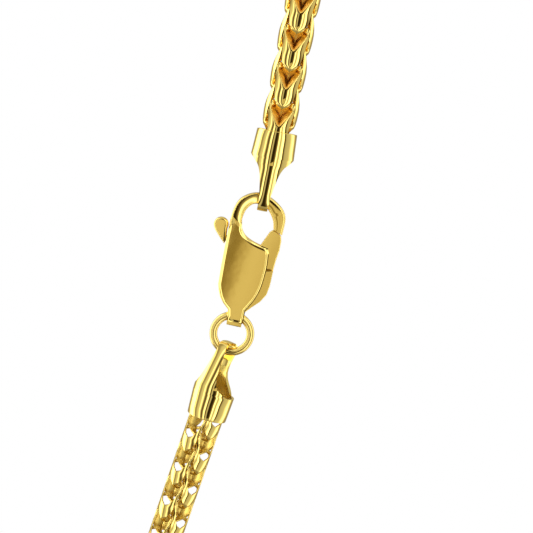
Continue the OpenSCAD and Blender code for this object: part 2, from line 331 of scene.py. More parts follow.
# Vertices closer than this are one, and one nearer the middle plane than this is on it.
MERGE = 1e-5
ON_PLANE = 1e-6
# Width the links are drawn at.
DRAWN_WIDTH = 6
# Faces nearer the axis than this are inside, and so are those above the height
# given here that look up by more than this slope. Both take the painted shade.
INSIDE_RADIUS = 2.3
INSIDE_SLOPE = 0.3
INSIDE_HEIGHT = -0.6


def in_link(face, middle):
    """Whether a face of a link lies where no polish reaches and takes the painted shade of the
    inside.
    """
    if math.hypot(middle.x, middle.y) < INSIDE_RADIUS:
        return True
    return face.normal.z > INSIDE_SLOPE and middle.z > INSIDE_HEIGHT


def link_mesh(s, stations):
    """One whole link in millimetres, its notch tip at height 0."""
    bm = bmesh.new()
    rows = [section(station, s.link_edge) for station in stations]
    row = ring_of(bm, rows[0])
    for points in rows[1:]:
        row = grow(bm, row, points)
    dead = [f for f in bm.faces if all(abs(v.co.x) < ON_PLANE for v in f.verts)]
    bmesh.ops.delete(bm, geom=dead, context="FACES_ONLY")
    bmesh.ops.remove_doubles(bm, verts=bm.verts, dist=MERGE)
    for axis in ("X", "Y"):
        whole = bm.verts[:] + bm.edges[:] + bm.faces[:]
        bmesh.ops.mirror(bm, geom=whole, axis=axis, merge_dist=MERGE)
    bmesh.ops.remove_doubles(bm, verts=bm.verts, dist=MERGE)
    bmesh.ops.recalc_face_normals(bm, faces=bm.faces)
    inside(bm, in_link)
    k = s.chain_width / DRAWN_WIDTH
    bmesh.ops.scale(bm, vec=(k, k, k), verts=bm.verts)
    me = bpy.data.meshes.new("link")
    bm.to_mesh(me)
    bm.free()
    return me


# Distance along the route from the upper cap's mouth to the first link's notch, and from
# the last link's notch to the lower cap's mouth.
FIRST_LINK = 0.85
LAST_LINK = 0.5


def chain_run(lay, me, first, last, name):
    """Links first to last, each on the route and a quarter turn from its neighbour."""
    s = lay.s
    space = (lay.s5 - LAST_LINK - FIRST_LINK) / (s.link_count - 1)
    bm = bmesh.new()
    for i in range(first, last + 1):
        d = FIRST_LINK + i * space
        old = len(bm.verts)
        bm.from_mesh(me)
        bm.verts.ensure_lookup_table()
        m = lay.put(lay.point(d), lay.heading(d), lay.roll(d) + 90 * (i % 2))
        bmesh.ops.transform(bm, matrix=m, verts=bm.verts[old:])
    return finish_mesh(bm, name, Matrix.Identity(4), 45)


# A plate's flat faces lie at least this square to its depth, and its rims turn by more
# than this angle in radians.
SQUARE = 0.9
RIM_ANGLE = 0.5


def flat_part(bm, outline, low, high, bevel=0.0, steps=1):
    """A plate with this outline in x and z, between two depths, its rims rounded."""
    old_faces = set(bm.faces)
    verts = ring_of(bm, [Vector((x, low, z)) for x, z in outline])
    edges = [bm.edges.get((verts[i], verts[(i + 1) % len(verts)])) for i in range(len(verts))]
    face = bmesh.ops.contextual_create(bm, geom=edges)["faces"]
    out = bmesh.ops.extrude_face_region(bm, geom=face)
    moved = [g for g in out["geom"] if isinstance(g, bmesh.types.BMVert)]
    bmesh.ops.translate(bm, vec=(0, high - low, 0), verts=moved)
    made = [f for f in bm.faces if f not in old_faces]
    bmesh.ops.recalc_face_normals(bm, faces=made)
    caps = [f for f in made if abs(f.normal.y) > SQUARE]
    rims = list({e for f in caps for e in f.edges if abs(e.calc_face_angle(0)) > RIM_ANGLE})
    if bevel:
        bmesh.ops.bevel(
            bm,
            geom=rims,
            offset=bevel,
            offset_type="OFFSET",
            segments=steps,
            profile=0.5,
            affect="EDGES",
            material=-1,
        )


# Width and slope of each band of the clasp's front rim, from the outside in.
FRONT_RIM = [(0.17, 0.49), (0.02, 0.49), (0.3, 0.19), (0.02, 0.19)]


def rimmed_plate(bm, outline, low, high):
    """A plate whose front has a narrow steep rim and a broad shallow one."""
    old_faces = set(bm.faces)
    flat_part(bm, outline, low + sum(width * slope for width, slope in FRONT_RIM), high)
    made = (f for f in bm.faces if f not in old_faces)
    front = min(made, key=lambda f: f.calc_center_median().y)
    for width, slope in FRONT_RIM:
        rise = width * slope
        bmesh.ops.inset_region(
            bm, faces=[front], thickness=width, depth=rise, use_even_offset=True
        )


# The cap's tube: height and outer radius of each row.
CAP_TUBE = [(0, 3.66), (0.06, 3.7), (1.5, 3.79), (3, 3.87), (4.4, 3.95)]
CAP_SIDES = 96
CAP_WALL = 0.42
# The tongue: depth and height of the sheet's outer face, half width, radius of its crown.
TONGUE = [
    (-3.95, 4.65, 3.72, 3.95),
    (-3.95, 5.0, 3.38, 3.95),
    (-3.95, 5.5, 2.95, 3.95),
    (-3.93, 5.8, 2.72, 3.95),
    (-3.87, 6.1, 2.5, 3.95),
    (-3.76, 6.5, 2.24, 3.95),
    (-3.61, 7.0, 1.98, 3.95),
    (-3.44, 7.6, 1.76, 3.95),
    (-3.27, 8.2, 1.6, 3.95),
    (-3.10, 8.8, 1.47, 3.95),
    (-2.93, 9.4, 1.36, 3.95),
    (-2.76, 10.0, 1.26, 3.95),
    (-2.59, 10.6, 1.17, 3.95),
    (-2.44, 11.1, 1.1, 3.95),
    (-2.33, 11.5, 1.04, 3.95),
    (-2.1, 12.3, 0.94, 5.0),
    (-1.96, 12.9, 0.9, 8.0),
    (-1.8, 13.5, 0.9, 12.0),
    (-1.4, 13.9, 0.9, 12.0),
    (-0.75, 14.12, 0.9, 12.0),
    (0.0, 14.15, 0.9, 12.0),
    (0.75, 14.12, 0.9, 12.0),
    (1.4, 13.9, 0.9, 12.0),
    (1.8, 13.5, 0.9, 12.0),
    (1.98, 12.9, 0.9, 12.0),
    (2.0, 12.2, 0.9, 12.0),
    (1.95, 11.5, 0.9, 10.0),
    (1.75, 10.9, 0.9, 8.0),
    (1.35, 10.2, 1.0, 6.0),
    (1.05, 9.4, 1.15, 5.0),
    (1.0, 8.7, 1.25, 4.5),
    (1.3, 7.9, 1.35, 4.2),
    (1.9, 7.1, 1.5, 4.0),
    (2.7, 6.2, 1.7, 4.0),
    (3.4, 5.2, 1.85, 4.0),
    (3.86, 4.2, 1.95, 4.0),
]
# Depth and height of the rows that would come before and after the tongue's.
TONGUE_BEFORE = (-3.95, 4.4)
TONGUE_AFTER = (3.95, 3.4)
# Above this height both sides of the sheet are polished and the inside's painted shade stops.
CAP_POLISH_HEIGHT = 10


def cap_mesh():
    """A sheet tube whose front runs on as a tongue, folds over and comes down behind."""
    bm = bmesh.new()
    n = CAP_SIDES
    mid = CAP_WALL / 2
    row = None
    for z, r in CAP_TUBE:
        points = [cyl(360 * i / n - 90, r - mid, z) for i in range(n)]
        row = grow(bm, row, points) if row else ring_of(bm, points)
    half = n // 2
    strip = row[: half + 1]
    for k, (y, z, w, crown) in enumerate(TONGUE):
        before = TONGUE[k - 1] if k else TONGUE_BEFORE
        after = TONGUE[k + 1] if k + 1 < len(TONGUE) else TONGUE_AFTER
        d = Vector((0, after[0] - before[0], after[1] - before[1])).normalized()
        out = Vector((0, -d.z, d.y))
        a = math.asin(min(1, w / crown))
        points = []
        for j in range(half + 1):
            t = -1 + 2 * j / half
            c = crown - mid
            p = Vector((c * math.sin(a * t), y, z)) - out * (mid + c * (1 - math.cos(a * t)))
            points.append(p)
        strip = grow(bm, strip, points, closed=False)
    bmesh.ops.recalc_face_normals(bm, faces=bm.faces)
    bmesh.ops.solidify(bm, geom=bm.faces[:], thickness=CAP_WALL)
    bmesh.ops.recalc_face_normals(bm, faces=bm.faces)
    inside(bm)
    for f in bm.faces:
        if f.calc_center_median().z > CAP_POLISH_HEIGHT:
            f.material_index = 0
    return bm


def evenly(line, count):
    """Points spaced evenly along an open line."""
    steps = [0.0]
    for p, q in zip(line, line[1:]):
        steps.append(steps[-1] + math.dist(p, q))
    out = []
    k = 0
    for i in range(count):
        want = steps[-1] * i / (count - 1)
        while k < len(line) - 2 and steps[k + 1] < want:
            k += 1
        share = (want - steps[k]) / (steps[k + 1] - steps[k])
        out.append(tuple(a + (b - a) * share for a, b in zip(line[k], line[k + 1])))
    return out


# The hook's outer and inner lines, from the tip over the top and down the left side.
HOOK_OUTER = [
    (4.8, -5.48),
    (4.83, -2.93),
    (4.36, -1.58),
    (3.3, -0.5),
    (1.65, 0.45),
    (0.3, 0.9),
    (-0.75, 0.92),
    (-2.2, 0.4),
    (-3.6, -0.76),
    (-4.23, -2.2),
    (-4.48, -3.7),
    (-4.52, -5.7),
    (-4.5, -8.2),
]
HOOK_INNER = [
    (3.1, -4.74),
    (2.75, -3.39),
    (1.97, -2.2),
    (0.97, -1.24),
    (-0.3, -1.03),
    (-1.37, -1.3),
    (-2.25, -2.49),
    (-2.55, -4.1),
    (-2.46, -5.63),
    (-2.2, -6.9),
    (-1.6, -8.2),
]
HOOK_ROWS = 57
# Radius of the corners of its section, points in each and the angle between them.
HOOK_CORNER = 0.42
CORNER_POINTS = 7
CORNER_STEP = 15
# Half its depth at the tip. It swells by HOOK_SWELL from one share of its length over
# another, then falls by HOOK_FALL over the last part of it.
HOOK_DEPTH = 0.92
HOOK_SWELL = 0.7
SWELL_START = 0.42
SWELL_SPAN = 0.36
HOOK_FALL = 0.2
FALL_START = 0.8
FALL_SPAN = 0.2


def hook_depth(share):
    """Half the depth of the hook at this share of its length."""
    swell = min(1, max(0, (share - SWELL_START) / SWELL_SPAN))
    fall = max(0, share - FALL_START) / FALL_SPAN
    return HOOK_DEPTH + HOOK_SWELL * swell - HOOK_FALL * fall


def hook(bm):
    """The hook swept from its tip over the top and down the left side."""
    outer = evenly(smooth_line(HOOK_OUTER, 6, False), HOOK_ROWS)
    inner = evenly(smooth_line(HOOK_INNER, 6, False), HOOK_ROWS)
    row = None
    for k, (o, i) in enumerate(zip(outer, inner)):
        deep = hook_depth(k / (HOOK_ROWS - 1))
        wide = math.dist(o, i) / 2
        points = []
        for j in range(4 * CORNER_POINTS):
            quarter, step = divmod(j, CORNER_POINTS)
            side = math.radians(90 * quarter + 45)
            turn = math.radians(90 * quarter + CORNER_STEP * step)
            c = math.copysign(wide - HOOK_CORNER, math.cos(side))
            c = (c + HOOK_CORNER * math.cos(turn)) / wide
            d = math.copysign(deep - HOOK_CORNER, math.sin(side))
            d = d + HOOK_CORNER * math.sin(turn)
            x = (o[0] + i[0]) / 2 + (o[0] - i[0]) / 2 * c
            z = (o[1] + i[1]) / 2 + (o[1] - i[1]) / 2 * c
            points.append(Vector((x, d, z)))
        if row is None:
            row = ring_of(bm, points)
            bmesh.ops.contextual_create(bm, geom=row)
        else:
            row = grow(bm, row, points)
    bmesh.ops.contextual_create(bm, geom=row)


# Outlines of the flat parts of the clasp, in x and z from the middle of the hook bar.
TOP_EDGE = [(2.95, -8.3), (1.3, -7.98), (-0.17, -7.55), (-1.4, -6.9), (-2.16, -5.95), (-2.5, -4.6)]
LEFT_EDGE = [(-4.3, -4.6), (-4.5, -6.6), (-4.5, -8), (-4.38, -12), (-4.2, -16), (-3.9, -17)]
LOW_LEFT = [(-3.4, -18.1), (-2.6, -19.1), (-1.6, -19.95)]
TAB = [(-1.45, -21), (-1.3, -22.75), (1.3, -22.75), (1.3, -21)]
FACE_RIGHT = [
    (1.4, -19.6),
    (1.95, -18.6),
    (2.6, -17.3),
    (3.2, -15.2),
    (3.42, -12.6),
    (3.42, -10.9),
    (3.25, -9.2),
    (3.1, -8.6),
]
LOW_RIGHT = [(1.4, -20.0), (2.5, -18.75), (3.6, -17.6), (4.4, -16.2), (4.65, -14.6), (4.65, -11.85)]
BACK_RIGHT = [(4.8, -9.8), (4.85, -8.4), (4.2, -7.7), (3.0, -8.4)]
FRONT_TAB = [(-1.45, -21), (-1.35, -22.0), (1.35, -22.0), (1.4, -21)]
# Corners of the middle plate, which fills the body below the lever's slot.
SLOT_LEFT = (-4.38, -12.6)
SLOT_RIGHT = (3.1, -12.15)

# The lever with its gate, from the gate's tip down the right side and back to the pad.
LEVER_LINE = [
    (3.15, -4.87),
    (3.7, -5.06),
    (4.25, -5.34),
    (4.68, -5.66),
    (4.9, -6.5),
    (4.95, -8.2),
    (4.72, -9.8),
    (4.63, -11.66),
    (3.2, -11.93),
    (2.1, -11.6),
    (1, -11.45),
    (-0.2, -10.9),
    (-2, -10.2),
    (-4, -9.5),
    (-5.2, -7.2),
    (-5.4, -5.6),
    (-4.9, -7),
    (-4.2, -8.5),
    (-2.4, -9),
    (-0.3, -9.35),
    (1, -9.1),
    (1.5, -8),
    (2.6, -5.4),
]
# Front and back of each plate in depth, then its bevel and the steps in that.
FACE_PLATE = (-1.6, -0.74)
MIDDLE_PLATE = (-0.8, 0.8, 0.12, 2)
BACK_PLATE = (0.74, 1.6, 0.3, 4)
LEVER_PLATE = (-0.6, 0.6, 0.18, 3)
PAD_PLATE = (-0.85, 0.85, 0.4, 5)
# The thumb pad: its round top, then its tail and the side that joins the lever.
PAD_AT = (-5.9, -5.85)
PAD_RADIUS = 1.28
PAD_TAIL = [(-6.75, -6.95), (-6.0, -7.75), (-5.35, -8.4), (-4.72, -9.0)]
PAD_INSIDE = [(-4.55, -8.6), (-4.6, -7.3)]

# Sides of the ring's wire, and steps of the wire round the ring.
WIRE_SIDES = 32
RING_STEPS = 144


# Materials.


def node(nt, kind, at, inputs=None, **values):
    """A new node at this place, with these properties and input values."""
    n = nt.nodes.new(kind)
    n.location = at
    for key, value in values.items():
        setattr(n, key, value)
    for key, value in (inputs or {}).items():
        n.inputs[key].default_value = value
    return n


# Tints of the gold, as shares of its red, green and blue.
# The pierced tint dims the gold of the lower stretch's inner faces: painted shade.
PIERCED_SHADE_TINT = (0.8, 0.77, 0.64)
# The inside tint makes the links' inner faces darker and warmer: painted shade for the light
# bounced round the hollows.
INSIDE_SHADE_TINT = (0.97, 0.78, 0.56)
# The cap-inside tint dims the caps' inner walls: painted shade.
CAP_INSIDE_SHADE_TINT = (0.9, 0.92, 0.85)
# The ring's tint dims its red and green: painted shade for the dimmer light on the ring.
RING_SHADE_TINT = (0.92, 0.92, 1.0)
PIN_TINT = (0.97, 0.95, 0.9)
EDGE_TINT = (1, 0.93, 0.7, 1)
# Roughness added to the polish of the clasp and of the pin, and the pin's extra waviness.
CLASP_ROUGHNESS = 0.02
PIN_ROUGHNESS = 0.12
PIN_GRAIN = 2.0
# Handling marks: how fine they are and how much roughness they add at most.
MARKS = {"Scale": 900.0, "Detail": 4.0}
MARKS_ROUGHNESS = 0.03
# Waviness of the polish: how fine, how strong and how deep in metres.
WAVES = {"Scale": 260.0, "Detail": 2.0}
WAVES_STRENGTH = 0.08
WAVES_DEPTH = 0.00012


def gold(name, s, tint=(1, 1, 1), rough=0.0, grain=1.0):
    """Polished gold with faint handling marks and a slight waviness."""
    m = bpy.data.materials.get(name)
    if m:
        return m
    m = bpy.data.materials.new(name)
    m.use_nodes = True
    nt = m.node_tree
    b = nt.nodes["Principled BSDF"]
    b.inputs["Metallic"].default_value = 1.0
    b.inputs["Base Color"].default_value = (*[c * t for c, t in zip(s.gold_color, tint)], 1)
    b.inputs["Specular Tint"].default_value = EDGE_TINT
    tc = node(nt, "ShaderNodeTexCoord", (-1100, 0))
    marks = node(nt, "ShaderNodeTexNoise", (-850, 100), MARKS)
    least = s.gold_roughness + rough
    span = {"To Min": least, "To Max": least + MARKS_ROUGHNESS}
    ramp = node(nt, "ShaderNodeMapRange", (-600, 100), span)
    wave = node(nt, "ShaderNodeTexNoise", (-850, -250), WAVES)
    lift = {"Strength": WAVES_STRENGTH * grain, "Distance": WAVES_DEPTH}
    bump = node(nt, "ShaderNodeBump", (-500, -250), lift)
    nt.links.new(tc.outputs["Object"], marks.inputs["Vector"])
    nt.links.new(tc.outputs["Object"], wave.inputs["Vector"])
    nt.links.new(marks.outputs["Fac"], ramp.inputs["Value"])
    nt.links.new(ramp.outputs["Result"], b.inputs["Roughness"])
    nt.links.new(wave.outputs["Fac"], bump.inputs["Height"])
    nt.links.new(bump.outputs["Normal"], b.inputs["Normal"])
    return m


class NecklaceSettings(bpy.types.PropertyGroup):
    """Sizes of the whole necklace, in millimetres and degrees."""

    chain_width: FloatProperty(
        name="Chain width", description="Overall width of the chain", default=6.0
    )
    link_count: IntProperty(name="Links", description="Links in the whole chain", default=161)
    link_edge: FloatProperty(
        name="Link edge", description="Rounding of a link's edges", default=0.09
    )
    chain_roll: FloatProperty(
        name="Chain roll", description="Turn of the chain about its length", default=45.0
    )
    nape_radius: FloatProperty(
        name="Nape radius", description="Radius of the loop over the nape", default=66.0
    )
    upper_run: FloatProperty(
        name="Upper run", description="Straight run above the clasp", default=26.0
    )
    lower_run: FloatProperty(
        name="Lower run", description="Straight run below the clasp", default=34.0
    )
    loop_lean: FloatProperty(
        name="Loop lean", description="Lean of the loop from upright", default=7.0
    )
    upper_lean: FloatProperty(name="Upper lean", description="Lean of the upper run", default=11.0)
    lower_lean: FloatProperty(name="Lower lean", description="Lean of the lower run", default=19.0)
    far_lean: FloatProperty(name="Far lean", description="Lean of the far side", default=6.0)
    cap_lean: FloatProperty(name="Cap lean", description="Lean of the lower end cap", default=17.0)
    cap_length: FloatProperty(name="Cap length", description="Mouth to folded loop", default=12.2)
    cap_roll: FloatProperty(
        name="Cap roll", description="Turn of the lower end cap", default=-35.0
    )
    ring_radius: FloatProperty(
        name="Ring radius", description="Middle radius of the jump ring", default=3.24
    )
    ring_wire: FloatProperty(name="Ring wire", description="Wire of the jump ring", default=1.36)
    clasp_length: FloatProperty(
        name="Clasp length", description="Hook bar to ring hole", default=21.0
    )
    clasp_lean: FloatProperty(name="Clasp lean", description="Lean of the clasp", default=12.5)
    gold_color: FloatVectorProperty(
        name="Gold",
        description="Colour of the gold",
        subtype="COLOR",
        default=(0.92, 0.695, 0.19),
    )
    gold_roughness: FloatProperty(
        name="Roughness", description="Polish of the gold", default=0.02, subtype="FACTOR"
    )
    inside_roughness: FloatProperty(
        name="Inside", description="Extra roughness of the insides", default=0.3, subtype="FACTOR"
    )


class NECKLACE_OT_chain(bpy.types.Operator):
    """Build the two halves of the chain from folded links"""

    bl_idname = "necklace.chain"
    bl_label = "Chain"

    def execute(self, context):
        s = context.scene.necklace
        lay = Layout(s)
        solid = link_mesh(s, STATIONS)
        pierced = link_mesh(s, PIERCED)
        half = s.link_count // 2
        quarter = half // 2
        mat = gold("polished_links", s)
        # The pierced links' inner faces get rougher gold whose tint is painted shade.
        pierced_shade = gold("satin_pierced_painted_shade", s, PIERCED_SHADE_TINT, s.inside_roughness)
        # The links' inner faces get rougher gold whose tint is painted shade.
        shaded_inside = gold("satin_inside_painted_shade", s, INSIDE_SHADE_TINT, s.inside_roughness)
        for name, first, last, cad, me in (
            ("links_near_cap", 0, quarter - 1, "chain_near", solid),
            ("links_nape", quarter, half - 1, "chain_near", solid),
            ("links_far_side", half, half + quarter, "chain_far", solid),
            ("links_to_lower_cap", half + quarter + 1, s.link_count - 1, "chain_far", pierced),
        ):
            ob = chain_run(lay, me, first, last, name)
            ob.data.materials.append(mat)
            ob.data.materials.append(pierced_shade if me == pierced else shaded_inside)
            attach(ob, "necklace")
            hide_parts(cad)
        bpy.data.meshes.remove(solid)
        bpy.data.meshes.remove(pierced)
        return {"FINISHED"}


class NECKLACE_OT_caps(bpy.types.Operator):
    """Build the two folded end caps"""

    bl_idname = "necklace.caps"
    bl_label = "End caps"

    def execute(self, context):
        s = context.scene.necklace
        lay = Layout(s)
        mat = gold("polished_caps", s)
        # The caps' inner walls get rougher gold whose tint is painted shade.
        shaded_inside = gold("satin_cap_inside_painted_shade", s, CAP_INSIDE_SHADE_TINT, s.inside_roughness)
        for name, cad, m in (
            ("cap_upper", "upper_end_cap", lay.put(Vector((0, 0)), s.upper_lean + 180)),
            ("cap_lower", "lower_end_cap", lay.put(lay.low_mouth, s.cap_lean, s.cap_roll)),
        ):
            ob = finish_mesh(cap_mesh(), name, m, 35, False)
            ob.data.materials.append(mat)
            ob.data.materials.append(shaded_inside)
            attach(ob, "necklace")
            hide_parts(cad)
        return {"FINISHED"}


class NECKLACE_OT_ring(bpy.types.Operator):
    """Build the round jump ring"""

    bl_idname = "necklace.ring"
    bl_label = "Jump ring"

    def execute(self, context):
        s = context.scene.necklace
        lay = Layout(s)
        bm = bmesh.new()
        wire = bmesh.ops.create_circle(bm, segments=WIRE_SIDES, radius=s.ring_wire / 2)["verts"]
        upright = Matrix.Rotation(math.radians(90), 3, "X")
        bmesh.ops.rotate(bm, matrix=upright, verts=wire)
        bmesh.ops.translate(bm, vec=(s.ring_radius, 0, 0), verts=wire)
        bmesh.ops.spin(
            bm,
            geom=bm.verts[:] + bm.edges[:],
            axis=(0, 0, 1),
            cent=(0, 0, 0),
            angle=2 * math.pi,
            steps=RING_STEPS,
            use_merge=True,
        )
        bmesh.ops.remove_doubles(bm, verts=bm.verts, dist=1e-4)
        bmesh.ops.rotate(bm, matrix=upright, verts=bm.verts)
        ob = finish_mesh(bm, "ring", lay.put(lay.ring, 0), 60, False)
        # The ring's gold is dimmed by its tint: painted shade.
        ob.data.materials.append(gold("polished_ring_painted_shade", s, RING_SHADE_TINT))
        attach(ob, "necklace")
        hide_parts("jump_ring")
        return {"FINISHED"}


class NECKLACE_OT_clasp(bpy.types.Operator):
    """Build the clasp body: hook, two cheeks and the folded tab"""

    bl_idname = "necklace.clasp"
    bl_label = "Clasp body"

    def execute(self, context):
        s = context.scene.necklace
        lay = Layout(s)
        bm = bmesh.new()
        # No short steps next to the face's corners, where they would fold over in the rim.
        top = smooth_line(TOP_EDGE, 4, False)
        top = top[:1] + top[2:-4] + top[-1:]
        face = top + LEFT_EDGE + LOW_LEFT + FRONT_TAB + smooth_line(FACE_RIGHT, 3, False)[:-3]
        rimmed_plate(bm, face, *FACE_PLATE)
        middle = [SLOT_LEFT] + LEFT_EDGE[4:] + LOW_LEFT + TAB + LOW_RIGHT + [SLOT_RIGHT]
        flat_part(bm, middle, *MIDDLE_PLATE)
        back = smooth_line(TOP_EDGE, 4, False) + LEFT_EDGE + LOW_LEFT + TAB + LOW_RIGHT + BACK_RIGHT
        flat_part(bm, back, *BACK_PLATE)
        hook(bm)
        ob = finish_mesh(bm, "clasp", lay.put(lay.hook, s.clasp_lean), 35)
        ob.data.materials.append(gold("satin_clasp", s, rough=CLASP_ROUGHNESS))
        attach(ob, "necklace")
        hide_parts("clasp_body")
        return {"FINISHED"}


class NECKLACE_OT_lever(bpy.types.Operator):
    """Build the sprung lever with its gate and thumb pad"""

    bl_idname = "necklace.lever"
    bl_label = "Lever"

    def execute(self, context):
        s = context.scene.necklace
        lay = Layout(s)
        bm = bmesh.new()
        flat_part(bm, LEVER_LINE, *LEVER_PLATE)
        pad = []
        for a in range(-20, 211, 10):
            x = PAD_AT[0] + PAD_RADIUS * math.cos(math.radians(a))
            z = PAD_AT[1] + PAD_RADIUS * math.sin(math.radians(a))
            pad.append((x, z))
        pad += smooth_line(PAD_TAIL, 3, False) + PAD_INSIDE
        flat_part(bm, pad, *PAD_PLATE)
        ob = finish_mesh(bm, "lever", lay.put(lay.hook, s.clasp_lean), 35)
        ob.data.materials.append(gold("polished_lever", s))
        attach(ob, "lever")
        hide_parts("clasp_lever")
        pin_mesh = bpy.data.objects["lever_pin"].data
        pin_mesh.materials.clear()
        brushed = gold("brushed_pin", s, PIN_TINT, PIN_ROUGHNESS, PIN_GRAIN)
        pin_mesh.materials.append(brushed)
        return {"FINISHED"}


# Place and reach of the camera in metres, its lens and sensor in millimetres.
CAMERA_AT = (0.057967, -0.235, -0.126554)
CAMERA_LENS = 97.3
CAMERA_SENSOR = 36
CAMERA_REACH = 20


def make_camera():
    """A long lens level with the clasp."""
    cam = bpy.data.cameras.new("camera")
    ob = bpy.data.objects.new("camera", cam)
    bpy.context.collection.objects.link(ob)
    cam.sensor_width = CAMERA_SENSOR
    cam.lens = CAMERA_LENS
    cam.clip_end = CAMERA_REACH
    ob.location = CAMERA_AT
    ob.rotation_euler = (math.radians(90), 0, 0)
    bpy.context.scene.camera = ob


# Brightness of the studio round the object, by place. The left half runs from behind (0)
# round the left side to the camera (1).
LEFT_TONES = [
    (0.0, 0.62),
    (0.1, 0.5),
    (0.18, 0.42),
    (0.26, 0.8),
    (0.33, 3.4),
    (0.46, 3.8),
    (0.51, 2.4),
    (0.54, 0.5),
    (0.58, 0.42),
    (0.62, 0.8),
    (0.68, 1.0),
    (0.71, 2.4),
    (0.745, 0.9),
    (0.77, 0.22),
    (0.805, 0.12),
    (0.83, 0.7),
    (0.86, 2.8),
    (0.885, 1.5),
    (0.9, 0.1),
    (0.92, 0.1),
    (0.94, 0.8),
    (0.96, 0.7),
    (0.978, 0.03),
    (1.0, 0.03),
]
# The right half runs from the camera (0) round the right side to behind (1).
RIGHT_TONES = [
    (0.0, 0.03),
    (0.035, 0.04),
    (0.055, 0.12),
    (0.083, 0.45),
    (0.11, 3.2),
    (0.14, 1.0),
    (0.17, 0.6),
    (0.2, 1.8),
    (0.24, 3.4),
    (0.266, 2.0),
    (0.28, 0.09),
    (0.305, 0.1),
    (0.33, 0.5),
    (0.35, 0.66),
    (0.49, 0.82),
    (0.57, 1.8),
    (0.63, 3.0),
    (0.68, 1.4),
    (0.74, 0.55),
    (0.82, 0.38),
    (0.9, 0.45),
    (1.0, 0.62),
]
# Steep directions, from straight down (0) to straight up (1).
POLE_TONES = [
    (0.0, 0.3),
    (0.12, 0.5),
    (0.2, 1.6),
    (0.26, 0.5),
    (0.5, 0.4),
    (0.73, 0.5),
    (0.8, 2.8),
    (0.88, 1.2),
    (1.0, 0.6),
]
# The small card, from its left end (0) to its right (1).
CARD_TONES = [
    (0.0, 0.78),
    (0.05, 0.74),
    (0.1, 0.26),
    (0.19, 0.3),
    (0.25, 0.54),
    (0.28, 0.68),
    (0.33, 0.78),
    (0.4, 0.77),
    (0.47, 0.73),
    (0.55, 0.66),
    (0.62, 0.68),
    (0.7, 0.72),
    (1.0, 0.78),
]


def tone_ramp(nt, tones, at, full=0.6, green=0.64, blue=0.25):
    """A ramp of places and brightnesses, white from the full one up and warmer below it.

    Green and blue are the shares left of each at no brightness.
    """
    ramp = node(nt, "ShaderNodeValToRGB", at)
    cr = ramp.color_ramp
    while len(cr.elements) < len(tones):
        cr.elements.new(0.5)
    for e, (place, tone) in zip(cr.elements, tones):
        low = min(1, tone / full)
        e.position = place
        e.color = (tone, tone * (green + (1 - green) * low), tone * (blue + (1 - blue) * low), 1)
    return ramp


# Turns of the studio's axis in degrees: back with the loop, and sideways about as far
# as the clasp.
STUDIO_LEAN = -7
STUDIO_TILT = -12
# Upright share of a direction at which the poles' tones start, and are all there is.
STEEP_FROM = 0.62
STEEP_FULL = 0.8
STUDIO_STRENGTH = 0.88


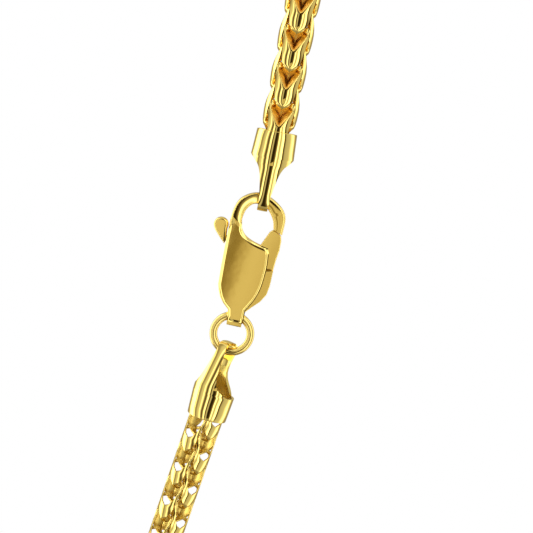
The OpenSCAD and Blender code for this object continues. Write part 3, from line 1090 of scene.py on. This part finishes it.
def make_world():
    """A white studio with upright dark and bright cards round the object."""
    w = bpy.data.worlds.new("studio")
    bpy.context.scene.world = w
    w.use_nodes = True
    nt = w.node_tree
    bg = nt.nodes["Background"]
    tc = node(nt, "ShaderNodeTexCoord", (-1600, 0))
    angle = {"Angle": math.radians(STUDIO_LEAN)}
    lean = node(nt, "ShaderNodeVectorRotate", (-1400, 0), angle, rotation_type="X_AXIS")
    angle = {"Angle": math.radians(STUDIO_TILT)}
    tilt = node(nt, "ShaderNodeVectorRotate", (-1200, 0), angle, rotation_type="Y_AXIS")
    sep = node(nt, "ShaderNodeSeparateXYZ", (-1000, 0))
    nt.links.new(tc.outputs["Generated"], lean.inputs["Vector"])
    nt.links.new(lean.outputs["Vector"], tilt.inputs["Vector"])
    nt.links.new(tilt.outputs["Vector"], sep.inputs["Vector"])
    minus = node(nt, "ShaderNodeMath", (-800, -100), {1: -1.0}, operation="MULTIPLY")
    nt.links.new(sep.outputs["Y"], minus.inputs[0])
    az = node(nt, "ShaderNodeMath", (-600, 0), operation="ARCTAN2")
    nt.links.new(sep.outputs["X"], az.inputs[0])
    nt.links.new(minus.outputs[0], az.inputs[1])
    share = node(nt, "ShaderNodeMath", (-400, 0), {1: math.pi}, operation="DIVIDE")
    nt.links.new(az.outputs[0], share.inputs[0])
    left_at = node(nt, "ShaderNodeMath", (-200, -150), {1: 1.0}, operation="ADD")
    nt.links.new(share.outputs[0], left_at.inputs[0])
    left = tone_ramp(nt, LEFT_TONES, (0, -150))
    right = tone_ramp(nt, RIGHT_TONES, (0, 150))
    nt.links.new(left_at.outputs[0], left.inputs["Fac"])
    nt.links.new(share.outputs[0], right.inputs["Fac"])
    side = node(nt, "ShaderNodeMath", (0, 350), {1: 0.0}, operation="GREATER_THAN")
    nt.links.new(share.outputs[0], side.inputs[0])
    mix = node(nt, "ShaderNodeMix", (300, 0), data_type="RGBA")
    nt.links.new(side.outputs[0], mix.inputs["Factor"])
    nt.links.new(left.outputs["Color"], mix.inputs["A"])
    nt.links.new(right.outputs["Color"], mix.inputs["B"])
    height = node(nt, "ShaderNodeMapRange", (-400, 500), {"From Min": -1.0})
    nt.links.new(sep.outputs["Z"], height.inputs["Value"])
    poles = tone_ramp(nt, POLE_TONES, (0, 600))
    nt.links.new(height.outputs["Result"], poles.inputs["Fac"])
    steep = node(nt, "ShaderNodeMath", (-600, 700), operation="ABSOLUTE")
    nt.links.new(sep.outputs["Z"], steep.inputs[0])
    span = {"From Min": STEEP_FROM, "From Max": STEEP_FULL}
    part = node(
        nt, "ShaderNodeMapRange", (-200, 800), span, interpolation_type="SMOOTHSTEP"
    )
    nt.links.new(steep.outputs[0], part.inputs["Value"])
    whole = node(nt, "ShaderNodeMix", (500, 200), data_type="RGBA")
    nt.links.new(part.outputs["Result"], whole.inputs["Factor"])
    nt.links.new(mix.outputs["Result"], whole.inputs["A"])
    nt.links.new(poles.outputs["Color"], whole.inputs["B"])
    bg.location = (750, 0)
    bg.inputs["Strength"].default_value = STUDIO_STRENGTH
    nt.links.new(whole.outputs["Result"], bg.inputs["Color"])


# The card's width, length and place in metres, and its slope in degrees.
CARD_SIZE = (0.05, 0.047)
CARD_AT = (0.056, -0.13, -0.16)
CARD_SLOPE = 76
# Its tones run between these places in x at this height, and shift by this share of z.
CARD_FROM = 0.04
CARD_TO = 0.072
CARD_LEVEL = -0.168
CARD_SLANT = 0.35
# Brightness from which its tones are white, and the shares of green and blue at none.
CARD_WARMTH = (1.1, 0.69, 0.1)


def make_card():
    """A small card low in front, dark to bright, that the face of the clasp mirrors."""
    bm = bmesh.new()
    bmesh.ops.create_grid(bm, x_segments=1, y_segments=1, size=0.5)
    bmesh.ops.scale(bm, vec=(*CARD_SIZE, 1), verts=bm.verts)
    slope = Matrix.Rotation(math.radians(CARD_SLOPE), 3, "X")
    bmesh.ops.rotate(bm, matrix=slope, verts=bm.verts)
    ob = finish_mesh(bm, "card", Matrix.Translation(CARD_AT))
    m = bpy.data.materials.new("card_gradient")
    m.use_nodes = True
    nt = m.node_tree
    nt.nodes.clear()
    tc = node(nt, "ShaderNodeTexCoord", (-800, 0))
    sep = node(nt, "ShaderNodeSeparateXYZ", (-600, 0))
    nt.links.new(tc.outputs["Object"], sep.inputs["Vector"])
    ramp = tone_ramp(nt, CARD_TONES, (-200, 0), *CARD_WARMTH)
    shift = CARD_SLANT * CARD_LEVEL
    ends = {"From Min": CARD_FROM - shift, "From Max": CARD_TO - shift}
    span = node(nt, "ShaderNodeMapRange", (-400, 0), ends)
    slant = {1: -CARD_SLANT}
    place = node(nt, "ShaderNodeMath", (-600, -200), slant, operation="MULTIPLY_ADD")
    nt.links.new(sep.outputs["Z"], place.inputs[0])
    nt.links.new(sep.outputs["X"], place.inputs[2])
    nt.links.new(place.outputs[0], span.inputs["Value"])
    nt.links.new(span.outputs["Result"], ramp.inputs["Fac"])
    em = node(nt, "ShaderNodeEmission", (100, 0))
    nt.links.new(ramp.outputs["Color"], em.inputs["Color"])
    out = node(nt, "ShaderNodeOutputMaterial", (300, 0))
    nt.links.new(em.outputs[0], out.inputs[0])
    ob.data.materials.append(m)
    ob.visible_camera = False
    ob.visible_diffuse = False
    ob.visible_shadow = False
    ob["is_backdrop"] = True


BACKDROP_RADIUS = 4


def make_backdrop():
    """A plain white dome far round the object, seen by the camera alone."""
    bm = bmesh.new()
    bmesh.ops.create_icosphere(bm, subdivisions=3, radius=BACKDROP_RADIUS)
    ob = finish_mesh(bm, "backdrop", Matrix.Identity(4), 180, False)
    m = bpy.data.materials.new("backdrop_white")
    m.use_nodes = True
    nt = m.node_tree
    nt.nodes.clear()
    em = node(nt, "ShaderNodeEmission", (0, 0), {"Strength": 1.0})
    out = node(nt, "ShaderNodeOutputMaterial", (200, 0))
    nt.links.new(em.outputs[0], out.inputs[0])
    ob.data.materials.append(m)
    ob.visible_glossy = False
    ob.visible_diffuse = False
    ob.visible_shadow = False
    ob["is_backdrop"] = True


class NECKLACE_OT_stage(bpy.types.Operator):
    """Set the camera, the studio, the card and the white backdrop"""

    bl_idname = "necklace.stage"
    bl_label = "Stage"

    def execute(self, context):
        make_camera()
        make_world()
        make_backdrop()
        make_card()
        context.scene.view_settings.view_transform = "Standard"
        return {"FINISHED"}


class NECKLACE_PT_panel(bpy.types.Panel):
    """Sizes and build steps of the necklace"""

    bl_idname = "NECKLACE_PT_panel"
    bl_label = "Necklace"
    bl_space_type = "VIEW_3D"
    bl_region_type = "UI"
    bl_category = "Necklace"

    def draw(self, context):
        settings = context.scene.necklace
        sizes = self.layout.column(align=True)
        for name in NecklaceSettings.__annotations__:
            sizes.prop(settings, name)
        steps = self.layout.column(align=True)
        for step in STEPS:
            steps.operator("necklace." + step)


STEPS = ("chain", "caps", "ring", "clasp", "lever", "stage")
CLASSES = (
    NecklaceSettings,
    NECKLACE_OT_chain,
    NECKLACE_OT_caps,
    NECKLACE_OT_ring,
    NECKLACE_OT_clasp,
    NECKLACE_OT_lever,
    NECKLACE_OT_stage,
    NECKLACE_PT_panel,
)


def register():
    """Register the classes and the settings."""
    for c in CLASSES:
        bpy.utils.register_class(c)
    bpy.types.Scene.necklace = PointerProperty(type=NecklaceSettings)


def unregister():
    """Take the settings and the classes away again."""
    del bpy.types.Scene.necklace
    for c in reversed(CLASSES):
        bpy.utils.unregister_class(c)


def plain(value):
    """Bounds as plain lists of numbers."""
    if isinstance(value, dict):
        return {str(k): plain(v) for k, v in value.items()}
    if isinstance(value, (int, float, str)) or value is None:
        return value
    return [plain(v) for v in value]


def main():
    """Build every piece and the stage."""
    register()
    bpy.ops.necklace.chain()
    bpy.ops.necklace.caps()
    bpy.ops.necklace.ring()
    bpy.ops.necklace.clasp()
    bpy.ops.necklace.lever()
    bpy.ops.necklace.stage()
    {"cad": plain(cad_box), "visual": plain(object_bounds())}


if __name__ == "__main__":
    main()
